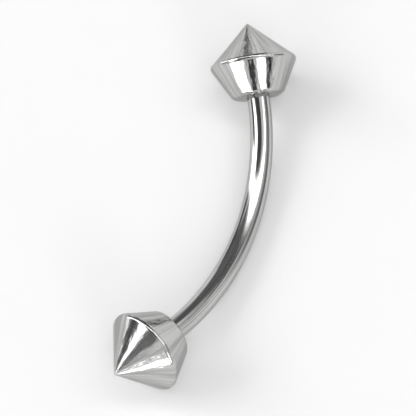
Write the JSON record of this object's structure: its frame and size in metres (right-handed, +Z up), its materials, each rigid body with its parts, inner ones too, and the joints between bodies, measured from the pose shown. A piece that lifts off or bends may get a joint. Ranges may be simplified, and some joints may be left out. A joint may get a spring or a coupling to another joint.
{
  "type": "curved eyebrow barbell",
  "caption": "Curved body-jewellery bar of polished steel with screw-on pointed cone ends, worn through a pierced eyebrow.",
  "frame": {"origin": "on the table, under the centre of the jewel's box, as it lies at rest on its two rims and the middle of its bar", "axes": "+X from the left cone to the right one, +Y towards the hollow side of the bend, +Z up from the table"},
  "size_m": [0.0178, 0.0044, 0.0037],
  "materials": {
    "bar_steel": "drawn stainless steel wire, polished bright along its length",
    "cone_steel": "turned stainless steel, polished bright, with faint turning rings and softened edges"
  },
  "bodies": {
    "bar": {"curved_bar": "bar_steel"},
    "left_end": {"cone_end_left": "cone_steel"},
    "right_end": {"cone_end_right": "cone_steel"}
  },
  "joints": [
    {"name": "left_unscrew", "type": "slide", "parent": "bar", "child": "left_end", "axis": [-0.8572, 0.4271, 0.2878], "range_m": [0, 0.00155]},
    {"name": "right_unscrew", "type": "slide", "parent": "bar", "child": "right_end", "axis": [0.8572, 0.4271, 0.2878], "range_m": [0, 0.00155]}
  ]
}
